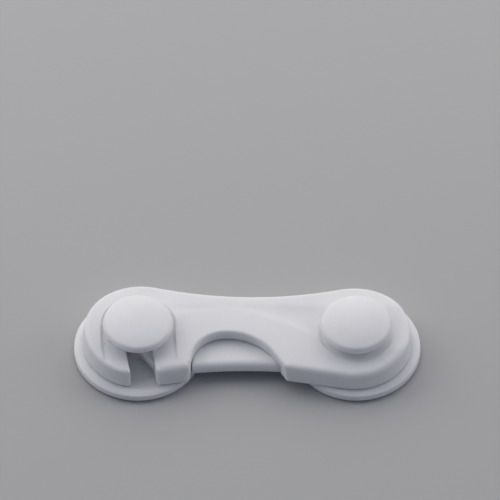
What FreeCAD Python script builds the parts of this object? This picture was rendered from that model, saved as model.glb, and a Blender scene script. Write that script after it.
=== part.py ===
"""Stick-on child-safety swing latch: two studs on round bases, and a hook arm with a sprung tooth.

Frame: millimetres, +Z up from the mounting plane. The origin is midway between the two studs.
The pivot stud is at +X and the catch stud at -X. The arm is closed over the catch stud.
"""
import FreeCAD, Part
import math
import os
import Sketcher
from FreeCAD import Placement, Rotation, Vector

SIZES = {
    # studs and their round bases
    "stud_offset": 32.0,
    "base_radius": 19.0,
    "base_bottom": 0.5,
    "base_top": 2.8,
    "rim_round": 0.85,
    "rim_under_round": 0.25,
    "dish_radius": 190.0,
    "dish_floor": 2.05,
    "pad_radius": 17.5,
    "catch_stem_radius": 3.3,
    "stem_foot_round": 0.8,
    "post_radius": 5.0,
    "post_boss_radius": 9.0,
    "post_boss_top": 3.0,
    "post_top": 9.4,
    # caps
    "cap_radius": 10.3,
    "cap_edge_radius": 10.0,
    "cap_widest_above": 1.1,
    "cap_shoulder_radius": 9.5,
    "cap_shoulder_top": 14.4,
    "cap_apex": 15.6,
    "cap_dome_radius": 38.2,
    "cap_lip_round": 0.35,
    "pivot_cap_under": 11.3,
    "pivot_cap_hub_radius": 8.0,
    "catch_cap_under": 12.2,
    "catch_stem_top": 11.7,
    "catch_collar_radius": 4.6,
    # screws that hold the caps
    "screw_radius": 1.1,
    "screw_play": 0.05,
    "screw_seat_play": 0.15,
    "pilot_play": 0.01,
    "pilot_room": 0.2,
    "screw_head_radius": 2.0,
    "screw_head_tall": 1.3,
    "screw_seat": 2.6,
    "screw_tip": 14.2,
    "screw_end_taper": 0.8,
    # arm outline, seen from above
    "arm_bottom": 3.1,
    "arm_top": 10.0,
    "arm_edge_round": 1.0,
    "pivot_end_radius": 16.4,
    "hook_x": -31.7,
    "hook_y": 0.5,
    "hook_end_radius": 16.6,
    "waist_x": 1.7,
    "waist_y": 12.8,
    "hook_flat_x": -37.6,
    "lobe_mid_x": -27.0,
    "lobe_mid_y": -14.9,
    "lobe_end_x": -17.0,
    "lobe_end_y": -13.3,
    "shoulder_x": 10.7,
    "shoulder_y": -13.0,
    "hook_flat_round": 7.0,
    # arm shell
    "wall": 1.6,
    "ceiling": 7.9,
    "recess_floor": 9.2,
    "recess_radius": 10.9,
    "slot_width": 7.5,
    "slot_end_y": 2.1,
    "slot_wall": 1.2,
    "hub_radius": 7.0,
    "hub_play": 0.08,
    # arc-shaped cut-out for the button
    "arc_x": -6.2,
    "arc_top_y": -0.5,
    "arc_left_radius": 10.3,
    "arc_right_radius": 17.0,
    "arc_left_foot_x": -16.9,
    "arc_right_foot_x": 10.4,
    "arc_wall": 1.2,
    "arc_wall_under": 6.5,
    # release button
    "button_gap": 0.3,
    "button_top": 6.2,
    "button_plate_under": 4.5,
    "button_skirt_under": 3.1,
    "button_skirt": 1.5,
    "button_pad_depth": 15.0,
    "button_front_left_y": -10.9,
    "button_front_right_y": -10.5,
    "button_front_radius": 150.0,
    "button_travel": 3.0,
    "tongue_front_y": -9.5,
    "tongue_left_x": -9.6,
    "tongue_right_x": -2.4,
    "tongue_back_y": 7.6,
    "peg_x": -4.4,
    "peg_y": 4.0,
    "peg_radius": 1.0,
    "peg_top": 7.5,
    # latch bolt
    "bolt_travel": 3.9,
    "bolt_under": 4.4,
    "bolt_top": 7.7,
    "tooth_tip_x": -32.4,
    "tooth_face_y": -3.7,
    "tooth_foot_y": -10.6,
    "tooth_ramp_x": -27.6,
    "tooth_tip_flat": 0.5,
    "riser_left_x": -26.6,
    "riser_right_x": -22.3,
    "tail_under": 6.45,
    "tail_low_y": 2.2,
    "tail_back_y": 9.0,
    "lug_width": 1.4,
    "lug_lift": 0.1,
    "peg_slot_play": 0.12,
    "window_play": 0.3,
    "window_right_x": -25.0,
    # bolt spring
    "spring_radius": 1.25,
    "spring_wire_radius": 0.2,
    "spring_start_x": 0.25,
    "spring_end_x": 13.75,
    "spring_turns": 9.0,
    "spring_seat_x": 14.0,
    "spring_seat_width": 1.2,
    "spring_seat_margin": 1.0,
    "spring_y": 5.6,
    "spring_height": 6.1,
    # lower cover and its screws
    "cover_top": 4.3,
    "cover_play": 0.12,
    "cover_front_y": -4.4,
    "boss_radius": 2.6,
    "cover_screw_radius": 0.95,
    "cover_screw_head_radius": 1.85,
    "cover_screw_head_tall": 0.9,
    "cover_screw_head_under": 3.15,
    "cover_screw_tip": 7.3,
    "cover_screw_end_taper": 0.6,
}
COVER_SCREW_SPOTS = [(-41.5, 7.0), (19.0, 8.5), (19.0, -9.5)]

# Cross-shaped driver recess, as shares of its screw head's radius.
DRIVE_REACH = 0.55
DRIVE_HALF_WIDTH = 0.12
DRIVE_DEPTH = 0.35

PAST = 1.0  # how far a cutting tool, or a wall that is fused on, reaches past the surface it meets
FAR_FRONT = -25.0  # y well in front of the arm, where tools that open its front edge begin
TINY = 1e-4  # lengths and gaps below this count as nothing

doc = FreeCAD.newDocument("swing_latch")
sheet = doc.addObject("Spreadsheet::Sheet", "sizes")
for row, (alias, number) in enumerate(SIZES.items(), start=1):
    sheet.set(f"A{row}", alias)
    sheet.set(f"B{row}", str(number))
    sheet.setAlias(f"B{row}", alias)
doc.recompute()


class Size:
    """A number together with the sheet formula that gives it."""

    def __init__(self, value, formula):
        self.value = value
        self.formula = formula

    def __add__(self, other):
        other = as_size(other)
        return Size(self.value + other.value, f"({self.formula} + {other.formula})")

    def __sub__(self, other):
        other = as_size(other)
        return Size(self.value - other.value, f"({self.formula} - {other.formula})")

    def __mul__(self, other):
        other = as_size(other)
        return Size(self.value * other.value, f"({self.formula} * {other.formula})")

    def __truediv__(self, other):
        other = as_size(other)
        return Size(self.value / other.value, f"({self.formula} / {other.formula})")

    def __neg__(self):
        return Size(-self.value, f"(0 - {self.formula})")

    def root(self):
        return Size(math.sqrt(self.value), f"sqrt({self.formula})")


def as_size(number):
    return number if isinstance(number, Size) else Size(float(number), repr(float(number)))


def size(alias):
    return Size(float(sheet.get(alias)), f"sizes.{alias}")


def bind(thing, prop, amount):
    """Tie one property to the sheet."""
    amount = as_size(amount)
    thing.setExpression(prop, amount.formula)


def place(thing, x, y, z):
    x, y, z = as_size(x), as_size(y), as_size(z)
    thing.Placement = Placement(Vector(x.value, y.value, z.value), thing.Placement.Rotation)
    bind(thing, "Placement.Base.x", x)
    bind(thing, "Placement.Base.y", y)
    bind(thing, "Placement.Base.z", z)
    return thing


def cylinder(radius, low, high, x=0, y=0):
    thing = doc.addObject("Part::Cylinder", "round")
    bind(thing, "Radius", radius)
    bind(thing, "Height", as_size(high) - low)
    return place(thing, x, y, low)


def cone(low_radius, high_radius, low, high, x=0, y=0):
    thing = doc.addObject("Part::Cone", "taper")
    bind(thing, "Radius1", low_radius)
    bind(thing, "Radius2", high_radius)
    bind(thing, "Height", as_size(high) - low)
    return place(thing, x, y, low)


def block(x_low, x_high, y_low, y_high, z_low, z_high):
    thing = doc.addObject("Part::Box", "block")
    bind(thing, "Length", as_size(x_high) - x_low)
    bind(thing, "Width", as_size(y_high) - y_low)
    bind(thing, "Height", as_size(z_high) - z_low)
    return place(thing, x_low, y_low, z_low)


def fuse(*things):
    joined = doc.addObject("Part::MultiFuse", "joined")
    joined.Shapes = list(things)
    joined.Refine = True
    return joined


def common(*things):
    shared = doc.addObject("Part::MultiCommon", "shared")
    shared.Shapes = list(things)
    return shared


def cut(base, *tools):
    """Take each tool away from the base, in one boolean."""
    result = doc.addObject("Part::Cut", "trimmed")
    result.Base = base
    result.Tool = tools[0] if len(tools) == 1 else fuse(*tools)
    return result


def fillet(base, radius, is_edge):
    """Round every edge of the base that is_edge picks."""
    doc.recompute()
    rounded = doc.addObject("Part::Fillet", "rounded")
    rounded.Base = base
    picked = []
    for number, edge in enumerate(base.Shape.Edges, start=1):
        if is_edge(edge):
            picked.append((number, radius.value, radius.value))
    rounded.Edges = picked
    return rounded


def lies_at_height(height):
    """Pick edges that lie wholly at one height."""

    def test(edge):
        box = edge.BoundBox
        return abs(box.ZMin - height.value) < TINY and abs(box.ZMax - height.value) < TINY

    return test


def stands_at(x, y):
    """Pick the upright edge at one place in plan."""

    def test(edge):
        box = edge.BoundBox
        upright = box.XLength < TINY and box.YLength < TINY
        return upright and math.hypot(box.XMin - x.value, box.YMin - y.value) < TINY * 10

    return test


def arc_edge(start, end, radius):
    """The shorter arc between two points; a negative radius turns clockwise."""
    middle = (start + end) * 0.5
    half = (end - start) * 0.5
    reach = math.sqrt(radius * radius - half.Length**2) * math.copysign(1, radius)
    side = Vector(-half.y, half.x, 0).normalize()
    centre = middle + side * reach
    swing = (start - centre) + (end - centre)
    top = centre + swing.normalize() * abs(radius)
    return Part.Arc(start, top, end)


def outline_sketch(name, corners):
    """A closed outline. Each corner is (x, y, radius of the arc that leaves it, or None for a line)."""
    sketch = doc.addObject("Sketcher::SketchObject", name)
    points = [Vector(as_size(x).value, as_size(y).value, 0) for x, y, _ in corners]
    for index, (_, _, bend) in enumerate(corners):
        start = points[index]
        end = points[(index + 1) % len(points)]
        if bend is None:
            sketch.addGeometry(Part.LineSegment(start, end))
        else:
            sketch.addGeometry(arc_edge(start, end, bend.value))
    tie_sketch(sketch, corners)
    return sketch


def end_positions(corners):
    """Sketcher numbers an arc's ends counter-clockwise, so a clockwise arc starts at its second end."""
    return [(2, 1) if bend is not None and bend.value < 0 else (1, 2) for _, _, bend in corners]


def tie_sketch(sketch, corners):
    """Join the segments end to end, and tie each corner and each arc's radius to the sheet."""
    ends = end_positions(corners)
    for index in range(len(corners)):
        after = (index + 1) % len(corners)
        joint = Sketcher.Constraint("Coincident", index, ends[index][1], after, ends[after][0])
        sketch.addConstraint(joint)
    for index, (x, y, bend) in enumerate(corners):
        start = ends[index][0]
        for kind, amount in (("DistanceX", as_size(x)), ("DistanceY", as_size(y))):
            if amount.value == 0:
                axis = -2 if kind == "DistanceX" else -1
                sketch.addConstraint(Sketcher.Constraint("PointOnObject", index, start, axis))
                continue
            number = sketch.addConstraint(Sketcher.Constraint(kind, -1, 1, index, start, amount.value))
            bind(sketch, f"Constraints[{number}]", amount)
        if bend is not None:
            amount = bend if bend.value > 0 else -bend
            number = sketch.addConstraint(Sketcher.Constraint("Radius", index, amount.value))
            bind(sketch, f"Constraints[{number}]", amount)


def extrude(profile, low, high):
    """Raise a flat profile from one height to another."""
    low, high = as_size(low), as_size(high)
    solid = doc.addObject("Part::Extrusion", "raised")
    solid.Base = profile
    solid.DirMode = "Custom"
    solid.Dir = Vector(0, 0, 1)
    solid.Solid = True
    bind(solid, "LengthFwd", high - low)
    return place(solid, 0, 0, low)


def offset(profile, amount):
    moved = doc.addObject("Part::Offset2D", "offset")
    moved.Source = profile
    bind(moved, "Value", amount)
    return moved


def revolved_body(name, corners, x):
    """A PartDesign body turned about its own Z axis from corners given as (radius, height, arc)."""
    body = doc.addObject("PartDesign::Body", name)
    sketch = body.newObject("Sketcher::SketchObject", f"{name}_section")
    for feature in body.Origin.OriginFeatures:
        if feature.Role == "XZ_Plane":
            sketch.AttachmentSupport = [(feature, "")]
    sketch.MapMode = "FlatFace"
    points = [Vector(as_size(r).value, as_size(z).value, 0) for r, z, _ in corners]
    for index, (_, _, bend) in enumerate(corners):
        end = points[(index + 1) % len(points)]
        if bend is None:
            sketch.addGeometry(Part.LineSegment(points[index], end))
        else:
            sketch.addGeometry(arc_edge(points[index], end, bend.value))
    tie_sketch(sketch, corners)
    turned = body.newObject("PartDesign::Revolution", f"{name}_turned")
    turned.Profile = sketch
    turned.ReferenceAxis = (sketch, ["V_Axis"])
    turned.Angle = 360
    body.Tip = turned
    place(body, x, 0, 0)
    return body


def name_node(thing, label):
    thing.Label = label
    nodes.append(thing)
    return thing


nodes = []
PIVOT_X = size("stud_offset")
CATCH_X = -size("stud_offset")
ARM_BOTTOM = size("arm_bottom")
ARM_TOP = size("arm_top")
SLOT_CENTRE_RADIUS = size("stud_offset") * 2


# ---- bases, caps, pads and their screws -------------------------------------------------------

def base_disc(x):
    """Round disc with a rounded rim and a shallow dished top."""
    disc = cylinder(size("base_radius"), size("base_bottom"), size("base_top"), x)
    disc = fillet(disc, size("rim_round"), lies_at_height(size("base_top")))
    disc = fillet(disc, size("rim_under_round"), lies_at_height(size("base_bottom")))
    dish = doc.addObject("Part::Sphere", "dish")
    bind(dish, "Radius", size("dish_radius"))
    place(dish, x, 0, size("dish_floor") + size("dish_radius"))
    return cut(disc, dish)


def screw_way(x, top):
    """Counterbore and clearance hole for a cap screw, from under the base to the post's top."""
    head = size("screw_head_radius") + size("screw_seat_play")
    seat = cylinder(head, 0, size("screw_seat"), x)
    way = cylinder(size("screw_radius") + size("screw_play"), 0, top + PAST, x)
    return seat, way


def pivot_base():
    boss = cylinder(size("post_boss_radius"), size("base_bottom"), size("post_boss_top"), PIVOT_X)
    post = cylinder(size("post_radius"), size("base_bottom"), size("post_top"), PIVOT_X)
    solid = fuse(base_disc(PIVOT_X), boss, post)
    name_node(cut(solid, *screw_way(PIVOT_X, size("post_top"))), "pivot_base")


def catch_base():
    """The stem flares into the disc at its foot."""
    radius = size("catch_stem_radius")
    stem = cylinder(radius, size("base_bottom"), size("catch_stem_top"), CATCH_X)
    flare = size("stem_foot_round")
    foot = cone(radius + flare, radius, size("dish_floor"), size("dish_floor") + flare, CATCH_X)
    root = cylinder(radius + flare, size("base_bottom"), size("dish_floor"), CATCH_X)
    solid = fuse(base_disc(CATCH_X), root, foot, stem)
    name_node(cut(solid, *screw_way(CATCH_X, size("catch_stem_top"))), "catch_base")


def cap(label, x, under, hub_radius, hub_under):
    """Mushroom cap: a domed disc on a short hub, with a blind pilot hole for its screw."""
    pilot = size("screw_radius") + size("pilot_play")
    pilot_end = size("screw_tip") + size("pilot_room")
    corners = [
        (pilot, hub_under, None),
        (hub_radius, hub_under, None),
        (hub_radius, under, None),
        (size("cap_edge_radius"), under, None),
        (size("cap_radius"), under + size("cap_widest_above"), None),
        (size("cap_shoulder_radius"), size("cap_shoulder_top"), size("cap_dome_radius")),
        (0, size("cap_apex"), None),
        (0, pilot_end, None),
        (pilot, pilot_end, None),
    ]
    body = revolved_body(label, corners, x)
    doc.recompute()
    turned = body.Tip
    lip = body.newObject("PartDesign::Fillet", f"{label}_lip")
    lip.Base = (turned, rim_edges(turned.Shape, size("cap_shoulder_radius").value))
    bind(lip, "Radius", size("cap_lip_round"))
    body.Tip = lip
    name_node(body, label)


def rim_edges(shape, least_radius):
    """Names of the closed level circles that are no narrower than a given radius."""
    names = []
    for number, edge in enumerate(shape.Edges, start=1):
        box = edge.BoundBox
        level = edge.Closed and box.ZLength < TINY
        if level and box.XLength / 2 > least_radius - TINY:
            names.append(f"Edge{number}")
    return names


def adhesive_pad(label, x):
    name_node(cylinder(size("pad_radius"), 0, size("base_bottom"), x), label)


def cap_screw(label, x):
    """Pan-head self-tapping screw, its head inside the base's counterbore."""
    seat = size("screw_seat")
    taper_start = size("screw_tip") - size("screw_end_taper")
    head = cylinder(size("screw_head_radius"), seat - size("screw_head_tall"), seat, x)
    shank = cylinder(size("screw_radius"), seat, taper_start, x)
    tip = cone(size("screw_radius"), size("screw_radius") / 2, taper_start, size("screw_tip"), x)
    drive = cross_recess(x, 0, seat - size("screw_head_tall"), size("screw_head_radius"))
    name_node(cut(fuse(head, shank, tip), drive), label)


def cross_recess(x, y, under, head_radius):
    """Cross-shaped driver recess, cut upwards into a screw head."""
    reach = head_radius * DRIVE_REACH
    half = head_radius * DRIVE_HALF_WIDTH
    low = under - PAST
    deep = under + head_radius * DRIVE_DEPTH
    x, y = as_size(x), as_size(y)
    along = block(x - reach, x + reach, y - half, y + half, low, deep)
    across = block(x - half, x + half, y - reach, y + reach, low, deep)
    return fuse(along, across)


# ---- arm outline and shell --------------------------------------------------------------------

def waist_radius(end_x, end_y, end_radius):
    """Radius of the arc that leaves the waist level and meets an end's circle tangentially."""
    across = size("waist_x") - end_x
    rise = size("waist_y") - end_y
    gap = (end_radius - rise) * 2
    return (across * across + rise * rise - end_radius * end_radius) / gap


def waist_touch(end_x, end_y, end_radius):
    """Point where the waist arc meets an end's circle."""
    bend = waist_radius(end_x, end_y, end_radius)
    share = end_radius / (bend + end_radius)
    across = size("waist_x") - end_x
    rise = size("waist_y") - end_y + bend
    return end_x + across * share, end_y + rise * share


def shoulder_touch():
    """Point where the straight front edge runs into the pivot end's circle."""
    radius = size("pivot_end_radius")
    across = size("shoulder_x") - PIVOT_X
    down = size("shoulder_y")
    span = across * across + down * down
    along = radius * radius / span
    beside = radius * (span - radius * radius).root() / span
    return PIVOT_X + across * along - down * beside, down * along + across * beside


def hook_flat_y():
    """Y where the hook end's circle has come round to the flat front of the hook."""
    across = size("hook_flat_x") - size("hook_x")
    radius = size("hook_end_radius")
    return size("hook_y") - (radius * radius - across * across).root()


def arm_outline():
    """Counter-clockwise from the arm's right-hand end."""
    hook_x = size("hook_x")
    hook_y = size("hook_y")
    hook_end = size("hook_end_radius")
    pivot_end = size("pivot_end_radius")
    pivot_touch = waist_touch(PIVOT_X, as_size(0), pivot_end)
    hook_touch = waist_touch(hook_x, hook_y, hook_end)
    corners = [
        (PIVOT_X + pivot_end, 0, pivot_end),
        (*pivot_touch, -waist_radius(PIVOT_X, as_size(0), pivot_end)),
        (size("waist_x"), size("waist_y"), -waist_radius(hook_x, hook_y, hook_end)),
        (*hook_touch, hook_end),
        (hook_x - hook_end, hook_y, hook_end),
        (size("hook_flat_x"), hook_flat_y(), None),
        (size("lobe_mid_x"), size("lobe_mid_y"), None),
        (size("lobe_end_x"), size("lobe_end_y"), None),
        (size("shoulder_x"), size("shoulder_y"), None),
        (*shoulder_touch(), pivot_end),
    ]
    return outline_sketch("arm_outline", corners)


def slot_band(half_width, end_y, low, high):
    """Curved band that follows the catch stud's path through the hook, with a round inner end."""
    outer = cylinder(SLOT_CENTRE_RADIUS + half_width, low, high, PIVOT_X)
    inner = cylinder(SLOT_CENTRE_RADIUS - half_width, as_size(low) - PAST, as_size(high) + PAST, PIVOT_X)
    front = block(CATCH_X * 2, 0, FAR_FRONT, end_y, low, high)
    band = common(cut(outer, inner), front)
    path_x = PIVOT_X - (SLOT_CENTRE_RADIUS * SLOT_CENTRE_RADIUS - end_y * end_y).root()
    return fuse(band, cylinder(half_width, low, high, path_x, end_y))


def cutout_sketch(name, inset):
    """Two arcs that meet at a crown, closed by a straight front. The inset shrinks it on all sides."""
    arc_x = size("arc_x")
    top = size("arc_top_y")
    left_foot = size("arc_left_foot_x") + inset
    right_foot = size("arc_right_foot_x") - inset
    left = size("arc_left_radius") - inset
    right = size("arc_right_radius") - inset
    left_centre_y = top - size("arc_left_radius")
    right_centre_y = top - size("arc_right_radius")
    right_across = right_foot - arc_x
    right_y = right_centre_y + (right * right - right_across * right_across).root()
    corners = [
        (left_foot, FAR_FRONT, None),
        (right_foot, FAR_FRONT, None),
        (right_foot, right_y, right),
        (arc_x, top - inset, left),
        (arc_x - left, left_centre_y, None),
    ]
    return outline_sketch(name, corners)


def cover_bosses():
    posts = []
    for x, y in COVER_SCREW_SPOTS:
        posts.append(cylinder(size("boss_radius"), size("cover_top"), size("ceiling"), x, y))
    return posts


def cover_screw_holes(radius, low, high):
    return [cylinder(radius, low, high, x, y) for x, y in COVER_SCREW_SPOTS]


def button_walls(ceiling):
    """Wall over the cut-out's edge, and a cheek at each end of the button."""
    side = size("arc_wall")
    left_foot = size("arc_left_foot_x")
    right_foot = size("arc_right_foot_x")
    left_front = size("button_front_left_y")
    right_front = size("button_front_right_y")
    arc_wall = extrude(cutout_sketch("arc_wall_line", -side), size("arc_wall_under"), ceiling)
    left_cheek = block(left_foot - side, left_foot + PAST, FAR_FRONT, left_front, ARM_BOTTOM, ceiling)
    right_cheek = block(right_foot - PAST, right_foot + side, FAR_FRONT, right_front, ARM_BOTTOM, ceiling)
    return arc_wall, left_cheek, right_cheek


def spring_seat(ceiling):
    """Rib under the ceiling that the bolt's spring pushes against."""
    seat_x = size("spring_seat_x")
    reach = size("spring_radius") + size("spring_seat_margin")
    seat_y = size("spring_y")
    low = size("cover_top") + size("cover_play")
    return block(seat_x, seat_x + size("spring_seat_width"), seat_y - reach, seat_y + reach, low, ceiling)


def tooth_window(ceiling):
    """Way through the slot's wall for the latch tooth."""
    play = size("window_play")
    front = size("tooth_foot_y") - play
    back = size("tooth_face_y") + play
    low = size("bolt_under") - play
    return block(size("tooth_tip_x"), size("window_right_x"), front, back, low, ceiling)


def arm_shell(outline):
    """Hollow housing, open below, with a hub, a walled slot and a cut-out for the button."""
    ceiling = size("ceiling")
    slot_end = size("slot_end_y")
    below = ARM_BOTTOM - PAST
    above = ARM_TOP + PAST
    blank = extrude(outline, ARM_BOTTOM, ARM_TOP)
    blank = fillet(blank, size("hook_flat_round"), stands_at(size("hook_flat_x"), hook_flat_y()))
    blank = fillet(blank, size("arm_edge_round"), lies_at_height(ARM_TOP))
    cavity = extrude(offset(outline, -size("wall")), below, ceiling)
    slot_half = size("slot_width") / 2
    slot_wall = slot_band(slot_half + size("slot_wall"), slot_end, ARM_BOTTOM, ceiling)
    walls = fuse(slot_wall, *button_walls(ceiling))
    inner_walls = common(walls, extrude(outline, ARM_BOTTOM, ceiling))
    hub = cylinder(size("hub_radius"), ARM_BOTTOM, ceiling, PIVOT_X)
    solid = fuse(cut(blank, cavity), inner_walls, hub, spring_seat(ceiling), *cover_bosses())
    pilot = size("cover_screw_radius") + size("pilot_play")
    pilots = cover_screw_holes(pilot, ARM_BOTTOM, size("cover_screw_tip") + size("pilot_room"))
    solid = cut(
        solid,
        slot_band(slot_half, slot_end, below, above),
        slot_band(size("recess_radius"), slot_end, size("recess_floor"), above),
        cylinder(size("recess_radius"), size("recess_floor"), above, PIVOT_X),
        cylinder(size("post_radius") + size("hub_play"), below, above, PIVOT_X),
        extrude(cutout_sketch("cutout_line", as_size(0)), below, above),
        tooth_window(ceiling),
        *pilots,
    )
    name_node(solid, "arm_upper_shell")


def lower_cover(outline):
    """Plate that fits between the shell's walls, cut back where the button's skirt travels."""
    play = size("cover_play")
    slack = size("screw_play")
    below = ARM_BOTTOM - PAST
    above = size("cover_top") + PAST
    plate = extrude(offset(outline, -size("wall") - play), ARM_BOTTOM, size("cover_top"))
    slot_half = size("slot_width") / 2 + size("slot_wall") + play
    front = size("arc_wall") + play
    bay_left = size("arc_left_foot_x") - front
    bay_right = size("arc_right_foot_x") + front
    button_bay = block(bay_left, bay_right, FAR_FRONT, size("cover_front_y"), below, above)
    head_radius = size("cover_screw_head_radius") + slack
    way_radius = size("cover_screw_radius") + slack
    head_low = size("cover_screw_head_under")
    head_high = head_low + size("cover_screw_head_tall")
    sinks = []
    for x, y in COVER_SCREW_SPOTS:
        sinks.append(cone(head_radius, way_radius, head_low, head_high, x, y))
        sinks.append(cylinder(head_radius, below, head_low, x, y))
        sinks.append(cylinder(way_radius, ARM_BOTTOM, above, x, y))
    solid = cut(
        plate,
        slot_band(slot_half, size("slot_end_y"), below, above),
        cylinder(size("hub_radius") + play, below, above, PIVOT_X),
        button_bay,
        *sinks,
    )
    name_node(solid, "arm_lower_cover")


def cover_screws():
    """Three countersunk screws, as separate solids in one node."""
    screws = []
    low = size("cover_screw_head_under")
    neck = low + size("cover_screw_head_tall")
    radius = size("cover_screw_radius")
    head_radius = size("cover_screw_head_radius")
    tip = size("cover_screw_tip")
    taper_start = tip - size("cover_screw_end_taper")
    for x, y in COVER_SCREW_SPOTS:
        head = cone(head_radius, radius, low, neck, x, y)
        shank = cylinder(radius, neck, taper_start, x, y)
        point = cone(radius, radius / 2, taper_start, tip, x, y)
        screws.append(cut(fuse(head, shank, point), cross_recess(x, y, low, head_radius)))
    group = doc.addObject("Part::Compound", "screw_set")
    group.Links = screws
    name_node(group, "cover_screws")


# ---- button, bolt and spring ------------------------------------------------------------------

def button_sketch(name, back):
    """The crescent pad. A positive back leaves only the strip along its front edge."""
    gap = size("button_gap")
    left = size("arc_left_foot_x") + gap * 2
    right = size("arc_right_foot_x") - gap
    left_y = size("button_front_left_y")
    right_y = size("button_front_right_y")
    bend = size("button_front_radius")
    corners = [
        (left, left_y, -bend),
        (right, right_y, None),
        (right, right_y + back, bend),
        (left, left_y + back, None),
    ]
    return outline_sketch(name, corners)


def release_button():
    """Thumb pad with a front skirt, and a tongue that carries the peg for the bolt."""
    under = size("button_plate_under")
    top = size("button_top")
    pad = extrude(cutout_sketch("pad_line", size("button_gap")), under, top)
    pad = common(pad, extrude(button_sketch("pad_front", size("button_pad_depth")), under, top))
    skirt = extrude(button_sketch("skirt_line", size("button_skirt")), size("button_skirt_under"), top)
    tongue = block(size("tongue_left_x"), size("tongue_right_x"), size("tongue_front_y"),
                   size("tongue_back_y"), under, top)
    peg = cylinder(size("peg_radius"), under, size("peg_top"), size("peg_x"), size("peg_y"))
    name_node(fuse(pad, skirt, tongue, peg), "release_button")


def latch_bolt():
    """Tooth, riser and tail in one plate. The tail's slanted slot turns the peg's travel sideways."""
    under = size("bolt_under")
    top = size("bolt_top")
    face_y = size("tooth_face_y")
    foot_y = size("tooth_foot_y")
    tip_x = size("tooth_tip_x")
    tooth = outline_sketch("tooth_line", [
        (tip_x, face_y - size("tooth_tip_flat"), None),
        (size("tooth_ramp_x"), foot_y, None),
        (size("riser_right_x"), foot_y, None),
        (size("riser_right_x"), face_y, None),
        (tip_x, face_y, None),
    ])
    riser_end = size("riser_right_x")
    tail_front = size("tail_low_y")
    tail_back = size("tail_back_y")
    tail_end = size("spring_start_x") - size("window_play")
    lug_start = tail_end - size("lug_width")
    riser = block(size("riser_left_x"), riser_end, foot_y, tail_back, under, top)
    tail = block(riser_end - PAST, tail_end, tail_front, tail_back, size("tail_under"), top)
    lug = block(lug_start, tail_end, tail_front, tail_back, under + size("lug_lift"), top)
    solid = cut(fuse(extrude(tooth, under, top), riser, tail, lug), peg_slot())
    name_node(solid, "latch_bolt")


def peg_slot():
    """Slanted slot from the peg's rest place to where the peg ends, seen from the moving bolt."""
    low = size("tail_under") - PAST
    high = size("bolt_top") + PAST
    half = size("peg_radius") + size("peg_slot_play")
    start_x = size("peg_x")
    start_y = size("peg_y")
    end_x = start_x - size("bolt_travel")
    end_y = start_y + size("button_travel")
    run = math.hypot(size("bolt_travel").value, size("button_travel").value)
    lean_x = size("bolt_travel") / run * half
    lean_y = size("button_travel") / run * half
    sides = outline_sketch("peg_slot_line", [
        (start_x + lean_y, start_y + lean_x, None),
        (end_x + lean_y, end_y + lean_x, None),
        (end_x - lean_y, end_y - lean_x, None),
        (start_x - lean_y, start_y - lean_x, None),
    ])
    first = cylinder(half, low, high, start_x, start_y)
    last = cylinder(half, low, high, end_x, end_y)
    return fuse(extrude(sides, low, high), first, last)


def bolt_spring():
    """Coil spring between the bolt's lug and the shell's seat, its axis along X."""
    length = size("spring_end_x") - size("spring_start_x")
    radius = size("spring_radius")
    coil = doc.addObject("Part::Helix", "coil_line")
    bind(coil, "Radius", radius)
    bind(coil, "Height", length)
    bind(coil, "Pitch", length / size("spring_turns"))
    wire = doc.addObject("Part::Circle", "coil_section")
    bind(wire, "Radius", size("spring_wire_radius"))
    wire.Placement = Placement(Vector(radius.value, 0, 0), Rotation(Vector(1, 0, 0), 90))
    bind(wire, "Placement.Base.x", radius)
    swept = doc.addObject("Part::Sweep", "coil")
    swept.Sections = [wire]
    swept.Spine = coil
    swept.Solid = True
    swept.Frenet = True
    swept.Placement = Placement(Vector(0, 0, 0), Rotation(Vector(0, 1, 0), 90))
    place(swept, size("spring_start_x"), size("spring_y"), size("spring_height"))
    name_node(swept, "bolt_spring")


# ---- the whole latch --------------------------------------------------------------------------

pivot_base()
catch_base()
cap("pivot_cap", PIVOT_X, size("pivot_cap_under"), size("pivot_cap_hub_radius"), size("post_top"))
cap("catch_cap", CATCH_X, size("catch_cap_under"), size("catch_collar_radius"), size("catch_stem_top"))
adhesive_pad("pivot_adhesive_pad", PIVOT_X)
adhesive_pad("catch_adhesive_pad", CATCH_X)
cap_screw("pivot_screw", PIVOT_X)
cap_screw("catch_screw", CATCH_X)
arm_line = arm_outline()
arm_shell(arm_line)
lower_cover(arm_line)
cover_screws()
release_button()
latch_bolt()
bolt_spring()
doc.recompute()

for thing in doc.Objects:
    if "Invalid" in thing.State or "Error" in thing.State:
        raise RuntimeError(f"{thing.Name} ({thing.Label}) failed: {thing.State}")
for node in nodes:
    if node.Shape.isNull() or not node.Shape.isValid() or not node.Shape.Solids:
        raise RuntimeError(f"{node.Label} has no valid solid")

os.makedirs("parts", exist_ok=True)
for node in nodes:
    node.Shape.exportStep(f"parts/{node.Label}.step")
    box = node.Shape.BoundBox
    spans = f"x {box.XMin:.2f}..{box.XMax:.2f}, y {box.YMin:.2f}..{box.YMax:.2f}"
    print(f"{node.Label}: {len(node.Shape.Solids)} solids, {node.Shape.Volume:.1f} mm3, {spans}")
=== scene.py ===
"""Looks of the stick-on swing latch: moulded meshes, procedural materials, floor, light and camera.

Shapes are worked out in millimetres and stored in metres. Upright is +Z, the front is -Y.
"""

import math

import bmesh
import bpy
import numpy as np
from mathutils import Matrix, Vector, geometry, kdtree


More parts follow.
